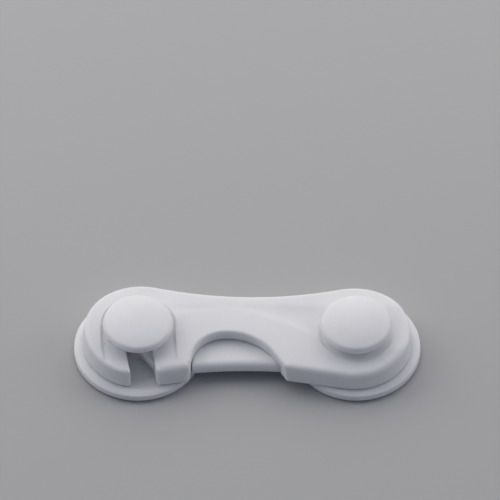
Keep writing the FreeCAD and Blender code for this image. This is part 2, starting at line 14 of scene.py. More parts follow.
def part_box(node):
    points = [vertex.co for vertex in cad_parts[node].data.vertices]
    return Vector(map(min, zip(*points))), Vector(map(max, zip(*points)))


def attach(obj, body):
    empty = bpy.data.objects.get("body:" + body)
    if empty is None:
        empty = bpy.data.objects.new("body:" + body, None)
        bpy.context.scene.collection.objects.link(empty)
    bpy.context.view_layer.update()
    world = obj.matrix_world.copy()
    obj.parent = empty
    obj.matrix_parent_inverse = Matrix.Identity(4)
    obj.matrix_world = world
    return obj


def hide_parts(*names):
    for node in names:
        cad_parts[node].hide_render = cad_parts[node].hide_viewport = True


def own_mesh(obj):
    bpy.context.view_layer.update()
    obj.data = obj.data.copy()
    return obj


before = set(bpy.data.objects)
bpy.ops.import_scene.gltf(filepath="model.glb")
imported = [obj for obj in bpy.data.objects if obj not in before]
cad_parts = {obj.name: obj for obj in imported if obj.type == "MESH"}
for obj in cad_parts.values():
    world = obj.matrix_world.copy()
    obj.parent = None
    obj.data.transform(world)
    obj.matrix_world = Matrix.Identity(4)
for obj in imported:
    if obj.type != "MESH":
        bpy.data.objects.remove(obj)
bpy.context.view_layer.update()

MM = 0.001
STEP = 0.6             # spacing of points along outlines and across moulded tops
CORNER_POINTS = 6      # points in a path's rounded corner
EDGE_RINGS = 5         # rings of points across a rounded top edge
LATHE_SEGMENTS = 128
CREASE_ANGLE = 35      # an edge that turns more than this is drawn sharp
CHUNK = 800            # points measured at a time, to save memory


# ---- places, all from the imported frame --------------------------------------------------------

def box_mm(node):
    low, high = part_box(node)
    return np.array(low) / MM, np.array(high) / MM


def middle(node):
    low, high = box_mm(node)
    return (low + high) / 2


PIVOT_X, PIVOT_Y = middle("pivot_cap")[:2]
CATCH_X = middle("catch_cap")[0]
ARM_LOW = box_mm("arm_upper_shell")[0][2]
ARM_TOP = box_mm("arm_upper_shell")[1][2]
BASE_LOW = box_mm("pivot_adhesive_pad")[1][2]
CAP_APEX = box_mm("pivot_cap")[1][2]
POST_TOP = box_mm("pivot_base")[1][2]
STEM_TOP = box_mm("catch_base")[1][2]
STUD_GAP = PIVOT_X - CATCH_X


# ---- sizes of the arm -------------------------------------------------------------------------

HOOK_X, HOOK_Y, HOOK_RADIUS = -31.15, 0.95, 16.7
HOOK_CORNER = 7.0
PIVOT_END, PIVOT_RADIUS = (PIVOT_X - 0.6, PIVOT_Y + 0.3), 16.55
WAIST_X, WAIST_Y = 1.7, 13.2
FRONT_Y = -15.0
SHOULDER = (11.3, -13.1)
LOBE = (-17.0, -13.3)
LOBE_SET_BACK = 0.1
SLOT_HALF = 3.75
SLOT_END_Y = 2.1
RECESS_RADIUS, PIVOT_RECESS = 10.8, 11.05
RECESS_DEPTH = 0.8
RECESS_BLEND = 0.9

# The thumb cut-out's back edge is two arcs that meet at (ARC_X, ARC_TOP_Y).
ARC_X, ARC_TOP_Y = -6.2, -0.65
ARC_LEFT, ARC_RIGHT = 10.3, 17.0
ARC_LEFT_Y, ARC_RIGHT_Y = ARC_TOP_Y - ARC_LEFT, ARC_TOP_Y - ARC_RIGHT
FLARE_Y = -8.9

DRAFT = 0.5            # how far a drafted wall leans out at its foot
CROWN = 100.0          # radius of the crown across the arm
CROWN_Y = 1            # where the crown is highest
HUB_BORE = 5.08
HUB_RADIUS = 7.0
WALL = 1.6
CAVITY_TOP = 7.9
LEDGE = 2.2            # how far the opening for the button reaches behind the cut-out
LEDGE_TOP = 6.5


# ---- paths: rows of x, y, edge rounding, share of the draft -----------------------------------

def stretch(points, edge=0.0, draft=0.0):
    points = np.asarray(points, float)
    edge = np.broadcast_to(edge, len(points))
    draft = np.broadcast_to(draft, len(points))
    return np.column_stack([points, edge, draft])


def arc(x, y, radius, start, end, step=STEP):
    """Points along an arc between two angles in degrees."""
    count = max(3, int(abs(math.radians(end - start)) * radius / step) + 2)
    angles = np.radians(np.linspace(start, end, count))
    return np.column_stack([x + radius * np.cos(angles), y + radius * np.sin(angles)])


def line(start, end, step=STEP):
    start, end = np.array(start, float), np.array(end, float)
    count = max(2, int(np.hypot(*(end - start)) / step) + 2)
    return start + (end - start) * np.linspace(0, 1, count)[:, None]


def trimmed(rows, from_start, from_end):
    """Cut a length off each end of a stretch, and drop points that stand too near the cuts."""
    near = 0.12
    along = np.concatenate([[0], np.cumsum(np.hypot(*np.diff(rows[:, :2], axis=0).T))])
    last = along[-1] - from_end
    keep = (along > from_start + near) & (along < last - near)
    ends = [[np.interp(at, along, rows[:, k]) for k in range(rows.shape[1])] for at in (from_start, last)]
    return np.vstack([ends[0], rows[keep], ends[1]])


def heading(a, b):
    way = b[:2] - a[:2]
    return way / np.hypot(*way)


def turn_between(u, v):
    return math.acos(max(-1.0, min(1.0, float(u @ v))))


def path(stretches, corners, closed=True):
    """Join stretches end to end. corners[i] rounds the corner after stretch i; 0 is a smooth join."""
    count = len(stretches)
    cuts = [[0.0, 0.0] for _ in stretches]
    for i, radius in enumerate(corners):
        after = (i + 1) % count
        if radius and (closed or after):
            u = heading(stretches[i][-2], stretches[i][-1])
            v = heading(stretches[after][0], stretches[after][1])
            cuts[i][1] = cuts[after][0] = radius * math.tan(turn_between(u, v) / 2)
    kept = [trimmed(rows, *cut) for rows, cut in zip(stretches, cuts)]
    joined = []
    for i, rows in enumerate(kept):
        radius = corners[i] if i < len(corners) else 0
        after = kept[(i + 1) % count]
        if not radius:
            joined.append(rows[:-1] if closed or i < count - 1 else rows)
            continue
        joined.append(rows)
        u, v = heading(rows[-2], rows[-1]), heading(after[0], after[1])
        reach = 4 / 3 * math.tan(turn_between(u, v) / 4) * radius
        a, b = rows[-1], after[0]
        p1, p2 = a[:2] + u * reach, b[:2] - v * reach
        for t in np.linspace(0, 1, CORNER_POINTS + 2)[1:-1]:
            spot = (1 - t) ** 3 * a[:2] + 3 * (1 - t) ** 2 * t * p1 + 3 * (1 - t) * t * t * p2 + t**3 * b[:2]
            joined.append(np.concatenate([spot, a[2:] * (1 - t) + b[2:] * t])[None])
    return np.vstack(joined)


def inward(loop):
    """Unit normals on the left of a loop's heading, which is into the material."""
    way = np.roll(loop[:, :2], -1, axis=0) - np.roll(loop[:, :2], 1, axis=0)
    way /= np.hypot(*way.T)[:, None]
    return np.column_stack([-way[:, 1], way[:, 0]])


def measure(points, loops):
    """Depth inside the outline, negative outside, and the edge rounding at the nearest place on it."""
    starts = np.vstack(loops)
    span = np.vstack([np.roll(loop, -1, axis=0) - loop for loop in loops])
    across, up = span[:, 0], np.where(np.abs(span[:, 1]) < 1e-12, 1e-12, span[:, 1])
    depth, edge = np.empty(len(points)), np.empty(len(points))
    for first in range(0, len(points), CHUNK):
        some = points[first:first + CHUNK]
        rel = some[:, None, :] - starts[None, :, :2]
        share = np.clip((rel * span[:, :2]).sum(2) / (span[:, :2] ** 2).sum(1), 0, 1)
        away = ((rel - share[..., None] * span[:, :2]) ** 2).sum(2)
        near = away.argmin(1)
        row = np.arange(len(some))
        height = some[:, 1][:, None]
        crosses = (starts[:, 1] > height) != (starts[:, 1] + span[:, 1] > height)
        right = some[:, 0][:, None] < starts[:, 0] + (height - starts[:, 1]) * across / up
        inside = (crosses & right).sum(1) % 2 == 1
        depth[first:first + CHUNK] = np.where(inside, 1, -1) * np.sqrt(away[row, near])
        edge[first:first + CHUNK] = starts[near, 2] + span[near, 2] * share[row, near]
    return depth, edge


def apart(points, others, gap):
    """The points that keep a gap from every one of the others."""
    tree = kdtree.KDTree(len(others))
    for number, (x, y) in enumerate(others):
        tree.insert((x, y, 0), number)
    tree.balance()
    return points[[tree.find((x, y, 0))[2] > gap for x, y in points]]


def around(loops):
    """Index pairs of neighbours round each loop, when the loops' points are numbered in one row."""
    first = 0
    for loop in loops:
        count = len(loop)
        for i in range(count):
            yield first + i, first + (i + 1) % count
        first += count


def smooth(t):
    t = np.clip(t, 0, 1)
    return t * t * (3 - 2 * t)


# ---- meshes -----------------------------------------------------------------------------------

def new_object(name, vertices, faces):
    mesh = bpy.data.meshes.new(name)
    mesh.from_pydata([tuple(np.array(v) * MM) for v in vertices], [], faces)
    made = bpy.data.objects.new(name, mesh)
    bpy.context.scene.collection.objects.link(made)
    tidy(made)
    return made


def tidy(made, sharp=CREASE_ANGLE):
    """Outward normals, smooth shading, and creases only where the surface really turns."""
    bm = bmesh.new()
    bm.from_mesh(made.data)
    bmesh.ops.remove_doubles(bm, verts=bm.verts, dist=1e-7)
    bmesh.ops.recalc_face_normals(bm, faces=bm.faces)
    bm.to_mesh(made.data)
    bm.free()
    made.data.shade_smooth()
    made.data.set_sharp_from_angle(angle=math.radians(sharp))


def apply_modifiers(made):
    graph = bpy.context.evaluated_depsgraph_get()
    mesh = bpy.data.meshes.new_from_object(made.evaluated_get(graph))
    made.modifiers.clear()
    made.data = mesh


def triangulate(points, loops):
    """Triangles between the points, inside the loops. The loops are the first points, in order."""
    made = geometry.delaunay_2d_cdt([Vector(p) for p in points], list(around(loops)), [], 0, 1e-7)
    spots = np.array([tuple(v) for v in made[0]])
    source = [ids[0] if ids else None for ids in made[3]]
    faces = np.array(made[2])
    depth, _ = measure(spots[faces].mean(1), loops)
    return [tuple(source[i] for i in face) for face in faces[depth > 0]]


def edge_points(loops, features):
    """Points inside the outline that follow its rounded edge, and the top's folds if it has any."""
    rows = np.vstack(loops)
    left = np.vstack([inward(loop) for loop in loops])
    edge = rows[:, 2]
    inner = []
    for turn in np.radians(np.linspace(0, 90, EDGE_RINGS + 1)[1:]):
        reach = edge * (1 - math.cos(turn))
        spots = rows[:, :2] + left * reach[:, None]
        depth, _ = measure(spots, loops)
        # Near a tight corner some points come closer to another stretch, and are dropped.
        inner.append(spots[depth > reach * 0.97 - 1e-4])
    inner.append((rows[:, :2] + left * (edge + STEP / 2)[:, None])[::2])
    inner = np.vstack(inner)
    depth, _ = measure(inner, loops)
    inner = inner[depth > 0.02]
    if features is None:
        return inner
    depth, near_edge = measure(features, loops)
    features = features[depth > near_edge * 0.5]
    return np.vstack([inner, apart(features, inner, 0.15)])


def grid_points(loops, inner):
    """A triangular grid over the rest of the top, clear of the edge points."""
    rows = np.vstack(loops)
    low_corner, high_corner = rows[:, :2].min(0), rows[:, :2].max(0)
    xs = np.arange(low_corner[0], high_corner[0], STEP)
    ys = np.arange(low_corner[1], high_corner[1], STEP * 0.866)
    gx, gy = np.meshgrid(xs, ys)
    gx[1::2] += STEP / 2
    spots = np.column_stack([gx.ravel(), gy.ravel()])
    depth, near_edge = measure(spots, loops)
    return apart(spots[depth > near_edge + STEP * 0.4], inner, STEP * 0.55)


def moulded(name, loops, height, low, low_round=0.3, features=None):
    """A plate with a shaped top, rounded edges and drafted walls.

    loops is the outer outline and then any holes, with the material on the left. height gives the
    top's height before its edges are rounded.
    """
    rows = np.vstack(loops)
    left = np.vstack([inward(loop) for loop in loops])
    inner = edge_points(loops, features)
    flat = np.vstack([rows[:, :2], inner, grid_points(loops, inner)])
    depth, near_edge = measure(flat, loops)
    depth[:len(rows)] = 0
    near_edge[:len(rows)] = rows[:, 2]
    short = np.clip(near_edge - depth, 0, None)
    drop = near_edge - np.sqrt(np.clip(near_edge**2 - short**2, 0, None))
    tops = height(flat) - drop
    vertices = [np.column_stack([flat, tops])]
    faces = triangulate(flat, loops)
    used = len(flat)
    wall_top = tops[:len(rows)]
    levels = [(share, 0.0, share * (low + low_round - wall_top)) for share in (0.2, 0.4, 0.6, 0.8, 1.0)]
    for turn in np.radians((30, 60, 90)):
        fall = low_round * math.sin(turn)
        levels.append((1.0, low_round * (1 - math.cos(turn)), low + low_round - wall_top - fall))
    previous = np.arange(len(rows))
    for share, reach, sink in levels:
        out = rows[:, 3] * DRAFT * share - reach
        vertices.append(np.column_stack([rows[:, :2] - left * out[:, None], wall_top + sink]))
        current = used + np.arange(len(rows))
        used += len(rows)
        faces += [(previous[i], current[i], current[j], previous[j]) for i, j in around(loops)]
        previous = current
    under = vertices[-1][:, :2]
    splits = np.cumsum([len(loop) for loop in loops])[:-1]
    under_loops = [np.column_stack([part, np.zeros((len(part), 2))]) for part in np.split(under, splits)]
    faces += [tuple(int(previous[i]) for i in face) for face in triangulate(under, under_loops)]
    return new_object(name, np.vstack(vertices), [tuple(int(i) for i in face) for face in faces])


def prism(name, loops, low, high):
    """A plain upright solid between two heights, used as a tool or a rib."""
    rows = np.vstack([loop[:, :2] for loop in loops])
    count = len(rows)
    vertices = np.vstack([np.column_stack([rows, np.full(count, z)]) for z in (low, high)])
    flat = triangulate(rows, [stretch(loop[:, :2]) for loop in loops])
    faces = [tuple(face) for face in flat] + [tuple(i + count for i in face) for face in flat]
    faces += [(i, j, j + count, i + count) for i, j in around(loops)]
    return new_object(name, vertices, faces)


def block(name, low, high):
    corners = [(low[0], low[1]), (high[0], low[1]), (high[0], high[1]), (low[0], high[1])]
    return prism(name, [stretch(corners)], low[2], high[2])


def combine(target, tools, operation):
    """Boolean each tool into the target, then throw the tools away."""
    for tool in tools:
        change = target.modifiers.new("shape", "BOOLEAN")
        change.operation = operation
        change.object = tool
        change.solver = "EXACT"
        apply_modifiers(target)
        bpy.data.objects.remove(tool)
    tidy(target)
    return target


def soften(made, width):
    """Bevel the sharp edges of a finished mesh."""
    sharp = 40
    bevel = made.modifiers.new("soften", "BEVEL")
    bevel.width = width * MM
    bevel.segments = 2
    bevel.limit_method = "ANGLE"
    bevel.angle_limit = math.radians(sharp)
    apply_modifiers(made)
    tidy(made, sharp)


def lathe(name, profile, x, y, closed=False):
    """Turn a profile of (radius, height) rows about an upright axis."""
    vertices, rings, segments = [], [], LATHE_SEGMENTS
    for radius, z in profile[:, :2]:
        if radius < 1e-6:
            rings.append([len(vertices)] * segments)
            vertices.append((x, y, z))
            continue
        rings.append(list(range(len(vertices), len(vertices) + segments)))
        for turn in np.linspace(0, 2 * math.pi, segments, endpoint=False):
            vertices.append((x + radius * math.cos(turn), y + radius * math.sin(turn), z))
    faces = []
    pairs = list(zip(rings, rings[1:])) + ([(rings[-1], rings[0])] if closed else [])
    for one, two in pairs:
        for i in range(segments):
            j = (i + 1) % segments
            corner = list(dict.fromkeys((one[i], one[j], two[j], two[i])))
            if len(corner) > 2:
                faces.append(tuple(corner))
    return new_object(name, vertices, faces)


# ---- the arm's upper shell --------------------------------------------------------------------

TOOTH_FOOT = (-27.6, -10.6)


def angle_to(centre, spot):
    return math.degrees(math.atan2(spot[1] - centre[1], spot[0] - centre[0]))


def waist_bend(end, end_radius):
    """Radius of the waist arc that touches an end's circle, and the two angles it spans."""
    across, rise = WAIST_X - end[0], WAIST_Y - end[1]
    bend = (across**2 + rise**2 - end_radius**2) / (2 * (end_radius - rise))
    centre = np.array([WAIST_X, WAIST_Y + bend])
    return bend, centre, angle_to(end, centre)


def band_x(radius, y):
    """X where the curved band of that radius about the pivot stands at a given Y."""
    return PIVOT_X - math.sqrt(radius**2 - (y - PIVOT_Y) ** 2)


def band_arc(radius, y_start, y_end):
    start = angle_to((PIVOT_X, PIVOT_Y), (band_x(radius, y_start), y_start)) % 360
    end = angle_to((PIVOT_X, PIVOT_Y), (band_x(radius, y_end), y_end)) % 360
    return arc(PIVOT_X, PIVOT_Y, radius, start, end)


SLOT_END_X = band_x(STUD_GAP, SLOT_END_Y)
SLOT_TURN = angle_to((PIVOT_X, PIVOT_Y), (SLOT_END_X, SLOT_END_Y)) % 360


def arm_outline():
    """The shell's outline, anticlockwise from the front of the pivot end."""
    pivot, hook = PIVOT_END, (HOOK_X, HOOK_Y)
    bend_r, centre_r, touch_r = waist_bend(pivot, PIVOT_RADIUS)
    bend_l, centre_l, touch_l = waist_bend(hook, HOOK_RADIUS)
    gap = np.array(pivot) - np.array(SHOULDER)
    lean = math.degrees(math.atan2(gap[1], gap[0]) - math.asin(PIVOT_RADIUS / np.hypot(*gap)))
    touch_front = lean - 90
    front = math.radians(touch_front)
    reach = PIVOT_RADIUS * np.array([math.cos(front), math.sin(front)])
    corner_y = FRONT_Y + HOOK_CORNER
    corner_x = HOOK_X - math.sqrt((HOOK_RADIUS - HOOK_CORNER) ** 2 - (corner_y - HOOK_Y) ** 2)
    corner_angle = angle_to(hook, (corner_x, corner_y)) % 360
    pivot_end = arc(*pivot, PIVOT_RADIUS, touch_front, touch_r)
    hook_corner = arc(corner_x, corner_y, HOOK_CORNER, corner_angle, 270)
    # The edge gets rounder towards the front.
    front_share = smooth((pivot[1] + 6 - pivot_end[:, 1]) / 16)
    outer_band, inner_band = STUD_GAP + SLOT_HALF, STUD_GAP - SLOT_HALF
    lobe_y = FRONT_Y + LOBE_SET_BACK
    slot_left, slot_right = band_x(outer_band, FRONT_Y), band_x(inner_band, lobe_y)
    flare_angle = math.degrees(math.asin((FLARE_Y - ARC_RIGHT_Y) / ARC_RIGHT))
    flare = arc(ARC_X, ARC_RIGHT_Y, ARC_RIGHT, 90, flare_angle)
    front_line = line(SHOULDER, np.array(pivot) + reach)
    stretches = [
        stretch(pivot_end, 1.0 + 0.8 * front_share, 1),
        stretch(arc(*centre_r, bend_r, touch_r + 180, 270), 1.0, 1),
        stretch(arc(*centre_l, bend_l, 270, touch_l + 180), 1.0, 1),
        stretch(arc(*hook, HOOK_RADIUS, touch_l, corner_angle), 1.0, 1),
        stretch(hook_corner, np.linspace(1.0, 1.6, len(hook_corner)), 1),
        stretch(line((corner_x, FRONT_Y), (slot_left, FRONT_Y)), 1.6, 1),
        stretch(band_arc(outer_band, FRONT_Y, SLOT_END_Y), 0.4, 0),
        stretch(arc(SLOT_END_X, SLOT_END_Y, SLOT_HALF, SLOT_TURN, SLOT_TURN - 180), 0.4, 0),
        stretch(band_arc(inner_band, SLOT_END_Y, lobe_y), 0.4, 0),
        stretch(line((slot_right, lobe_y), LOBE), 2.0, 1),
        stretch(line(LOBE, (ARC_X - ARC_LEFT, ARC_LEFT_Y)), 1.4, 0),
        stretch(arc(ARC_X, ARC_LEFT_Y, ARC_LEFT, 180, 90), 0.75, 0),
        stretch(flare, 0.75, 0),
        stretch(line(flare[-1], SHOULDER), 0.75, 0),
        stretch(front_line, np.linspace(1.4, 1.8, len(front_line)), 1),
    ]
    corners = [0, 0, 0, 0, 0, 0.5, 0, 0, 1.0, 1.3, 0, 0, 0, 1.7, 0]
    return path(stretches, corners)


# The curved lower edge of the scooped panel, from the hook to the pivot.
SWOOSH = [(-24, 5.2), (-19.8, 6.5), (-11.8, 7.5), (-5.8, 8), (-1.8, 7.7), (2.2, 6.5), (6.2, 4.6), (10.2, 3),
          (14.2, 1), (18.2, -1.5), (20.7, -3.5), (24, -6.4)]
CREASE_Y = 9.6
VALLEY_SLOPE = 0.2
VALLEY_BLEND = ((-0.9, 0.1), (-0.45, 0.25), (0.0, 0.3), (0.45, 0.25), (0.9, 0.1))
VALLEY_START, VALLEY_FADE = -26, 8


def swoosh_y(x):
    """A smooth curve through the swoosh line's points."""
    xs, ys = np.array(SWOOSH, float).T
    slopes = np.gradient(ys, xs)
    i = np.clip(np.searchsorted(xs, x) - 1, 0, len(xs) - 2)
    width = xs[i + 1] - xs[i]
    t = np.clip((x - xs[i]) / width, 0, 1)
    return ((1 + 2 * t) * (1 - t) ** 2 * ys[i] + t * (1 - t) ** 2 * width * slopes[i]
            + t * t * (3 - 2 * t) * ys[i + 1] + t * t * (t - 1) * width * slopes[i + 1])


def recess_depth(points):
    """How far inside the recess round each stud a point is, negative outside."""
    x, y = points.T
    from_pivot = np.hypot(x - PIVOT_X, y - PIVOT_Y)
    band = RECESS_RADIUS - np.abs(from_pivot - STUD_GAP)
    round_end = RECESS_RADIUS - np.hypot(x - SLOT_END_X, y - SLOT_END_Y)
    hook = np.where(y < SLOT_END_Y, band, round_end)
    hook = np.where(x > 0, -RECESS_RADIUS, hook)
    return np.maximum(hook, PIVOT_RECESS - from_pivot)


def valley_depth(x, y):
    """Shallow scoop between the crease and the swoosh line, with softened edges."""
    wide = CREASE_Y - swoosh_y(x)
    depth = 0.0
    for shift, weight in VALLEY_BLEND:
        share = np.clip((CREASE_Y - y + shift) / wide, 0, 1)
        depth = depth + weight * share * (1 - share)
    return VALLEY_SLOPE * wide * depth * smooth((x - VALLEY_START) / VALLEY_FADE)


def arm_height(points):
    """The top's height: a crown across the arm, with the recesses and the scoop let into it."""
    x, y = points.T
    crown = (y - CROWN_Y) ** 2 / (2 * CROWN)
    recess = RECESS_DEPTH * smooth(recess_depth(points) / RECESS_BLEND + 0.5)
    return ARM_TOP - np.maximum(valley_depth(x, y), np.maximum(recess - crown, 0)) - crown


def arm_features():
    """Extra points where the top folds: the recess rim, the crease and the swoosh line."""
    rows = []
    for off in (-0.6, -0.3, 0.0, 0.3, 0.6):
        rim = RECESS_RADIUS + off
        rows.append(arc(PIVOT_X, PIVOT_Y, PIVOT_RECESS + off, 0, 360)[:-1])
        rows.append(arc(SLOT_END_X, SLOT_END_Y, rim, SLOT_TURN, SLOT_TURN - 180))
        for radius in (STUD_GAP + rim, STUD_GAP - rim):
            rows.append(band_arc(radius, FRONT_Y - 1, SLOT_END_Y - 0.3))
    xs = np.arange(-23, 24, STEP)
    for off in (-0.9, -0.45, 0.0, 0.45):
        rows.append(np.column_stack([xs, swoosh_y(xs) + off]))
    for off in (0.3, 0.0, -0.4, -0.8, -1.3):
        rows.append(np.column_stack([xs, np.full(len(xs), CREASE_Y + off)]))
    kept = rows[0]
    for row in rows[1:]:
        kept = np.vstack([kept, apart(row, kept, 0.2)])
    return kept


def shrunk(loop, amount, loops):
    """The loop moved into the material, without the points that would cross over."""
    moved = loop[:, :2] + inward(loop) * amount
    depth, _ = measure(moved, loops)
    kept = []
    for spot in moved[depth > amount * 0.985]:
        if not kept or np.hypot(*(spot - kept[-1])) > STEP / 2:
            kept.append(spot)
    return stretch(kept)


def upper_shell():
    """Hollow shell with its hub, a low opening behind the thumb cut-out and the tooth's window."""
    outer = arm_outline()
    hub_hole = stretch(arc(PIVOT_X, PIVOT_Y, HUB_BORE, 360, 0)[:-1], 0.25, 0)
    shell = moulded("arm_upper_shell_moulded", [outer, hub_hole], arm_height, ARM_LOW,
                    features=arm_features())
    hub = stretch(arc(PIVOT_X, PIVOT_Y, HUB_RADIUS, 360, 0)[:-1])
    cavity = prism("cavity", [shrunk(outer, WALL, [outer]), hub], ARM_LOW - 1, CAVITY_TOP)
    left, right = ARC_LEFT + LEDGE, ARC_RIGHT + LEDGE
    front = -10.9
    end = math.degrees(math.asin((front - ARC_RIGHT_Y) / right))
    start = 180 - math.degrees(math.asin((front - ARC_LEFT_Y) / left))
    end_x = ARC_X + right * math.cos(math.radians(end))
    start_x = ARC_X + left * math.cos(math.radians(start))
    opening = path([
        stretch(arc(ARC_X, ARC_LEFT_Y, left, start, 90)),
        stretch(arc(ARC_X, ARC_RIGHT_Y, right, 90, end)),
        stretch([(end_x, front), (4, front)]),
        stretch([(4, front), (-12, front)]),
        stretch([(-12, front), (start_x, front)]),
    ], [0, 0, 0, 0, 0])[::-1]
    under_arc = prism("under_arc", [opening], ARM_LOW - 2, LEDGE_TOP)
    window = block("window", (-30.5, TOOTH_FOOT[1] - 0.3, 4.1), (-25.0, -3.4, CAVITY_TOP))
    return combine(shell, [cavity, under_arc, window], "DIFFERENCE")


# ---- button, bolt and spring ------------------------------------------------------------------

def flat_at(level):
    return lambda points: np.full(len(points), level)


BUTTON_LEFT, BUTTON_RIGHT = (-16.3, -10.9), (10.1, -10.4)
BUTTON_LOW, BUTTON_TOP = 3.1, 6.2
BUTTON_FRONT_RADIUS = 150.0
BUTTON_WALL = 1.5
BUTTON_HOLLOW_TOP = 4.5
PAD_UNDER_WALL = 0.6
PEG_X, PEG_Y, PEG_RADIUS = -4.4, 4.0, 1.0
PEG_WAY_HALF = 1.12
BOLT_TRAVEL, BUTTON_TRAVEL = 3.9, 3.0


def button_front():
    """The pad's shallow concave front edge, from left to right."""
    left, right, bend = np.array(BUTTON_LEFT), np.array(BUTTON_RIGHT), BUTTON_FRONT_RADIUS
    half = np.hypot(*(right - left)) / 2
    across = (right - left) / (2 * half)
    centre = (left + right) / 2 + np.array([across[1], -across[0]]) * math.sqrt(bend**2 - half**2)
    return arc(*centre, bend, angle_to(centre, left), angle_to(centre, right))


def release_button():
    """Thumb pad whose back edge reaches a little way under the shell's arc wall."""
    left, right = ARC_LEFT + PAD_UNDER_WALL, ARC_RIGHT + PAD_UNDER_WALL
    tab_y = BUTTON_RIGHT[1] + 1.5
    right_turn = math.degrees(math.asin((tab_y - ARC_RIGHT_Y) / right))
    tab_x = ARC_X + right * math.cos(math.radians(right_turn))
    left_turn = math.degrees(math.acos((BUTTON_LEFT[0] - ARC_X) / left))
    left_end = (BUTTON_LEFT[0], ARC_LEFT_Y + left * math.sin(math.radians(left_turn)))
    outline = path([
        stretch(button_front(), 2.0),
        stretch(line(BUTTON_RIGHT, (BUTTON_RIGHT[0], tab_y)), 0.5),
        stretch(line((BUTTON_RIGHT[0], tab_y), (tab_x, tab_y)), 0.25),
        stretch(arc(ARC_X, ARC_RIGHT_Y, right, right_turn, 90), 0.25),
        stretch(arc(ARC_X, ARC_LEFT_Y, left, 90, left_turn), 0.25),
        stretch(line(left_end, BUTTON_LEFT), 0.5),
    ], [0.6, 0.25, 0, 0, 0, 0.6])
    pad = moulded("release_button_moulded", [outline], flat_at(BUTTON_TOP), BUTTON_LOW, low_round=0.2)
    front = button_front() + np.array([0, BUTTON_WALL])
    # The hollow runs out past the pad's sides and back, so the pad is open behind its front wall.
    right_end, left_end = (11, front[-1][1] + 1), (-18, front[0][1] + 0.2)
    hollow_line = path([
        stretch(front),
        stretch(line(front[-1], right_end)),
        stretch([right_end, (11, 2), (-18, 2), left_end]),
        stretch([left_end, front[0]]),
    ], [0, 0, 0, 0])
    hollow = prism("hollow", [hollow_line], BUTTON_LOW - 1, BUTTON_HOLLOW_TOP)
    combine(pad, [hollow], "DIFFERENCE")
    tongue = block("tongue", (-9.6, -8.0, 4.55), (-2.4, 7.6, 6.15))
    peg = prism("peg", [stretch(arc(PEG_X, PEG_Y, PEG_RADIUS, 0, 360, 0.2)[:-1])], 5.0, 7.5)
    return combine(pad, [tongue, peg], "UNION")


def latch_bolt():
    """Pointed tooth on a riser, with a flat tail that has the peg's slanted slot and a spring lug."""
    low, top = 4.4, 7.7
    tip_x, riser_x, end_x = -32.4, -22.3, -0.05
    tooth_back, tail_front, tail_back = -3.7, 2.2, 9.0
    tip, riser_front = (tip_x, -4.2), (riser_x, TOOTH_FOOT[1])
    tooth = path([
        stretch([tip, TOOTH_FOOT]),
        stretch([TOOTH_FOOT, riser_front]),
        stretch([riser_front, (riser_x, tooth_back)]),
        stretch([(riser_x, tooth_back), (tip_x, tooth_back)]),
        stretch([(tip_x, tooth_back), tip]),
    ], [0.4, 0.4, 0.2, 0.15, 0.15])
    bolt = prism("latch_bolt_moulded", [tooth], low, top)
    riser = block("riser", (-26.6, TOOTH_FOOT[1] + 0.05, low + 0.02), (riser_x, tail_back, top))
    tail = block("tail", (riser_x - 1, tail_front, 6.45), (end_x, tail_back, top))
    lug = block("lug", (end_x - 1.4, tail_front, low + 0.1), (end_x, tail_back, top))
    travel = np.array([-BOLT_TRAVEL, BUTTON_TRAVEL])
    peg, half = np.array([PEG_X, PEG_Y]), PEG_WAY_HALF
    turn = angle_to((0, 0), (-travel[1], travel[0]))
    peg_way = prism("peg_way", [path([
        stretch(arc(*(peg + travel), half, turn, turn + 180, 0.2)),
        stretch(arc(*peg, half, turn + 180, turn + 360, 0.2)),
    ], [0, 0])], 5.5, 8.7)
    combine(bolt, [riser, tail, lug], "UNION")
    combine(bolt, [peg_way], "DIFFERENCE")
    soften(bolt, 0.15)
    return bolt


def bolt_spring():
    """Wire coil along X with two closed end turns."""
    start_x, end_x, y, z = 0.25, 13.75, 5.6, 6.1
    coil, wire, turns, sides, turn_steps = 1.25, 0.2, 9.0, 10, 28
    total = turns + 2
    steps = int(total * turn_steps)
    pitch_end = 2.1 * wire
    open_pitch = (end_x - start_x - 2 * wire - 2 * pitch_end) / turns
    vertices, faces = [], []
    for step in range(steps + 1):
        turn = total * step / steps
        along = (min(turn, 1) * pitch_end + min(max(turn - 1, 0), turns) * open_pitch
                 + max(turn - 1 - turns, 0) * pitch_end)
        angle = 2 * math.pi * turn
        out = np.array([0, math.cos(angle), math.sin(angle)])
        for side in range(sides):
            lean = 2 * math.pi * side / sides
            spot = np.array([start_x + wire + along, y, z]) + out * (coil + wire * math.cos(lean))
            spot[0] += wire * math.sin(lean)
            vertices.append(spot)
        if step:
            for side in range(sides):
                a, b = (step - 1) * sides + side, (step - 1) * sides + (side + 1) % sides
                faces.append((a, b, b + sides, a + sides))
    faces.append(tuple(range(sides)))
    faces.append(tuple(range(steps * sides, (steps + 1) * sides)))
    return new_object("bolt_spring_coil", vertices, faces)


# ---- studs: bases, caps and pads --------------------------------------------------------------

SCREW_BORE = 1.11
SCREW_BORE_TOP = 14.4
SHANK_BORE = 1.15
HEAD_BORE, HEAD_BORE_TOP = 2.15, 2.6
DISC_RADIUS, DISC_TOP, DISH_FLOOR = 19.0, 2.8, 2.05


